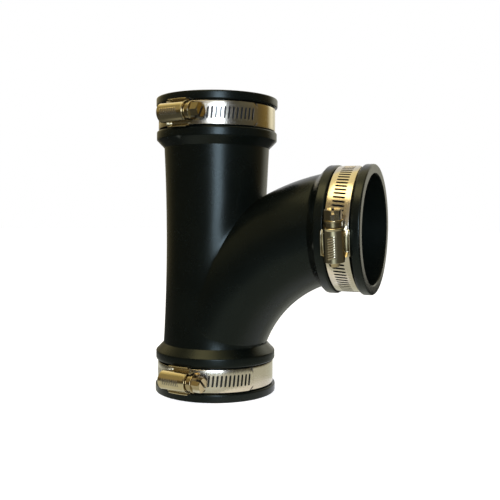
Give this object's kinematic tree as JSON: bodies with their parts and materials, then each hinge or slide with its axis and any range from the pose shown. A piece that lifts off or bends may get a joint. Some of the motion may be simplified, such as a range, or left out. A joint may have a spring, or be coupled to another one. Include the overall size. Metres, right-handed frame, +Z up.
{
  "type": "flexible pipe tee",
  "caption": "Flexible rubber sweep tee that joins pipes of one size, gripped by a worm-drive band clamp on each socket.",
  "frame": {"origin": "centre of the lower mouth's end face, on the run axis", "axes": "+Z up along the run, +X out of the branch, +Y completes the right-handed frame"},
  "size_m": [0.1304, 0.0818, 0.171],
  "materials": {
    "rubber": "smooth moulded satin black",
    "band_steel": "rolled stainless strip, warm satin",
    "housing_steel": "pressed stainless sheet, warm satin",
    "screw_steel": "rolled screw, warm bright plating"
  },
  "bodies": {
    "tee_body": {"tee_body": "rubber"},
    "upper_clamp": {"upper_band": "band_steel", "upper_saddle": "housing_steel", "upper_housing": "housing_steel"},
    "upper_screw": {"upper_screw": "screw_steel"},
    "lower_clamp": {"lower_band": "band_steel", "lower_saddle": "housing_steel", "lower_housing": "housing_steel"},
    "lower_screw": {"lower_screw": "screw_steel"},
    "branch_clamp": {"branch_band": "band_steel", "branch_saddle": "housing_steel", "branch_housing": "housing_steel"},
    "branch_screw": {"branch_screw": "screw_steel"}
  },
  "joints": [
    {"name": "upper_clamp_turn", "type": "hinge", "parent": "tee_body", "child": "upper_clamp", "pos_m": [0, 0, 0.159], "axis": [0, 0, 1], "continuous": true},
    {"name": "upper_screw_turn", "type": "hinge", "parent": "upper_clamp", "child": "upper_screw", "pos_m": [-0.00729, -0.03857, 0.159], "axis": [0.9826, -0.1857, 0], "range_deg": [-720, 3600], "deforming": ["upper_band"]},
    {"name": "lower_clamp_turn", "type": "hinge", "parent": "tee_body", "child": "lower_clamp", "pos_m": [0, 0, 0.012], "axis": [0, 0, 1], "continuous": true},
    {"name": "lower_screw_turn", "type": "hinge", "parent": "lower_clamp", "child": "lower_screw", "pos_m": [-0.0056, -0.03885, 0.012], "axis": [0.9898, -0.1426, 0], "range_deg": [-720, 3600], "deforming": ["lower_band"]},
    {"name": "branch_clamp_turn", "type": "hinge", "parent": "tee_body", "child": "branch_clamp", "pos_m": [0.0829, 0, 0.0962], "axis": [-1, 0, 0], "continuous": true},
    {"name": "branch_screw_turn", "type": "hinge", "parent": "branch_clamp", "child": "branch_screw", "pos_m": [0.0829, -0.03861, 0.08911], "axis": [0, -0.1805, 0.9836], "range_deg": [-720, 3600], "deforming": ["branch_band"]}
  ]
}
